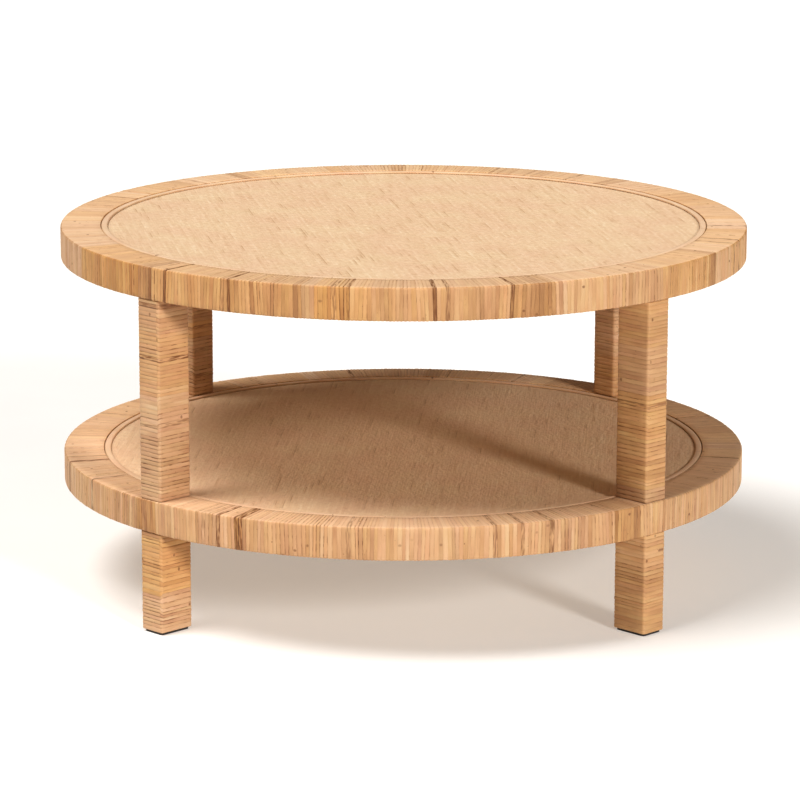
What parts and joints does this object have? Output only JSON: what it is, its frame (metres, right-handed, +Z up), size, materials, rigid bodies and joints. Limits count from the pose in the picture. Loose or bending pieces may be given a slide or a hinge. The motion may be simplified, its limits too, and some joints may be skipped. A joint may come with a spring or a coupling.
{
  "type": "round coffee table",
  "caption": "Round coffee table with a lower shelf: wooden rings and posts wrapped in split rattan, flat woven rattan centres with a bead, and square-section legs on thin glides.",
  "frame": {"origin": "on the floor under the table's centre, the middle of the bounding box's bottom face", "axes": "+Z up, the table's front faces -Y, +X is to the right seen from the front; the legs stand at 45 degrees to X and Y"},
  "size_m": [0.9, 0.9, 0.472],
  "materials": {
    "rattan_strip": "split rattan strips wound side by side, satin lacquer",
    "woven_rattan": "fine woven rattan mat, matt lacquer",
    "rattan_bead": "half-round rattan bead, satin lacquer",
    "frame_wood": "sawn hardwood, unfinished where covered",
    "plywood": "sanded plywood, clear sealer",
    "dowel_wood": "turned beech",
    "fastener_steel": "zinc plated",
    "glide_plastic": "dark moulded plastic"
  },
  "bodies": {
    "root": {"top_ring_segment_front": "frame_wood", "top_ring_segment_right": "frame_wood", "top_ring_segment_back": "frame_wood", "top_ring_segment_left": "frame_wood", "top_rail_left_right": "frame_wood", "top_rail_front_back": "frame_wood", "top_panel": "plywood", "top_woven_mat": "woven_rattan", "top_bead_ring": "rattan_bead", "top_rim_wrap": "rattan_strip", "shelf_ring_segment_front": "frame_wood", "shelf_ring_segment_right": "frame_wood", "shelf_ring_segment_back": "frame_wood", "shelf_ring_segment_left": "frame_wood", "shelf_rail_left_right": "frame_wood", "shelf_rail_front_back": "frame_wood", "shelf_panel": "plywood", "shelf_woven_mat": "woven_rattan", "shelf_bead_ring": "rattan_bead", "shelf_rim_wrap": "rattan_strip", "leg_post_front_left": "frame_wood", "leg_wrap_upper_front_left": "rattan_strip", "leg_wrap_lower_front_left": "rattan_strip", "foot_glide_front_left": "glide_plastic", "glide_nail_front_left": "fastener_steel", "leg_screw_front_left": "fastener_steel", "shelf_dowel_front_left_to_front": "dowel_wood", "shelf_dowel_front_left_to_left": "dowel_wood", "leg_post_front_right": "frame_wood", "leg_wrap_upper_front_right": "rattan_strip", "leg_wrap_lower_front_right": "rattan_strip", "foot_glide_front_right": "glide_plastic", "glide_nail_front_right": "fastener_steel", "leg_screw_front_right": "fastener_steel", "shelf_dowel_front_right_to_front": "dowel_wood", "shelf_dowel_front_right_to_right": "dowel_wood", "leg_post_back_left": "frame_wood", "leg_wrap_upper_back_left": "rattan_strip", "leg_wrap_lower_back_left": "rattan_strip", "foot_glide_back_left": "glide_plastic", "glide_nail_back_left": "fastener_steel", "leg_screw_back_left": "fastener_steel", "shelf_dowel_back_left_to_back": "dowel_wood", "shelf_dowel_back_left_to_left": "dowel_wood", "leg_post_back_right": "frame_wood", "leg_wrap_upper_back_right": "rattan_strip", "leg_wrap_lower_back_right": "rattan_strip", "foot_glide_back_right": "glide_plastic", "glide_nail_back_right": "fastener_steel", "leg_screw_back_right": "fastener_steel", "shelf_dowel_back_right_to_back": "dowel_wood", "shelf_dowel_back_right_to_right": "dowel_wood"}
  },
  "joints": []
}
